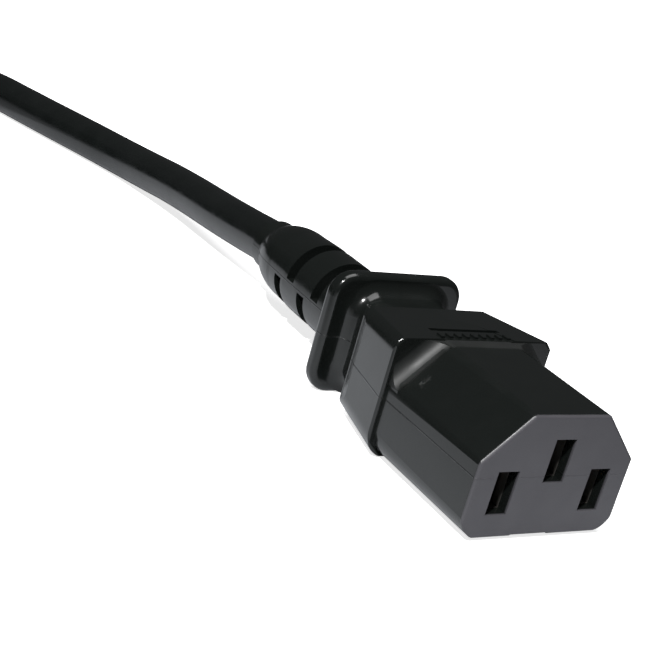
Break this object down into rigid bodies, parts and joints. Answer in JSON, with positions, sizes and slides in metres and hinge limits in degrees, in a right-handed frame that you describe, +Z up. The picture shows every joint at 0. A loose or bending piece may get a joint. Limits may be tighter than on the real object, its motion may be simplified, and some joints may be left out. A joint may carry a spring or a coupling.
{
  "type": "c13 power connector",
  "caption": "Black moulded C13 power connector with keyed nose, grip wing and slotted strain relief, on its mains lead with a tied coil and a C14 plug at the far end.",
  "frame": {"origin": "middle of the mating face, on the parting plane of the moulding", "axes": "+X across the face, +Y from the mating face towards the cord, +Z up on the earth contact's side"},
  "size_m": [0.1299, 0.1815, 0.0285],
  "materials": {
    "black_pvc": "glossy moulded black PVC, fine satin texture on the mating face",
    "cord_pvc": "smooth glossy black PVC jacket",
    "insert_plastic": "grey moulded insert",
    "contact_brass": "stamped strip, bright",
    "pin_nickel": "nickel-plated brass",
    "copper": "stranded copper",
    "core_blue": "blue core insulation",
    "core_green_yellow": "green and yellow core insulation",
    "core_brown": "brown core insulation",
    "strap": "woven black cable strap"
  },
  "bodies": {
    "root": {"connector_overmould": "black_pvc", "connector_insert": "insert_plastic", "contact_neutral": "contact_brass", "contact_earth": "contact_brass", "contact_line": "contact_brass", "conductor_neutral": "copper", "conductor_earth": "copper", "conductor_line": "copper", "core_neutral": "core_blue", "core_earth": "core_green_yellow", "core_line": "core_brown", "cord_lead": "cord_pvc", "cord_coil": "cord_pvc", "cord_tail": "cord_pvc", "coil_strap": "strap", "plug_overmould": "black_pvc", "plug_carrier": "insert_plastic", "pin_neutral": "pin_nickel", "pin_earth": "pin_nickel", "pin_line": "pin_nickel", "plug_conductor_neutral": "copper", "plug_conductor_earth": "copper", "plug_conductor_line": "copper", "plug_core_neutral": "core_blue", "plug_core_earth": "core_green_yellow", "plug_core_line": "core_brown"}
  },
  "joints": []
}
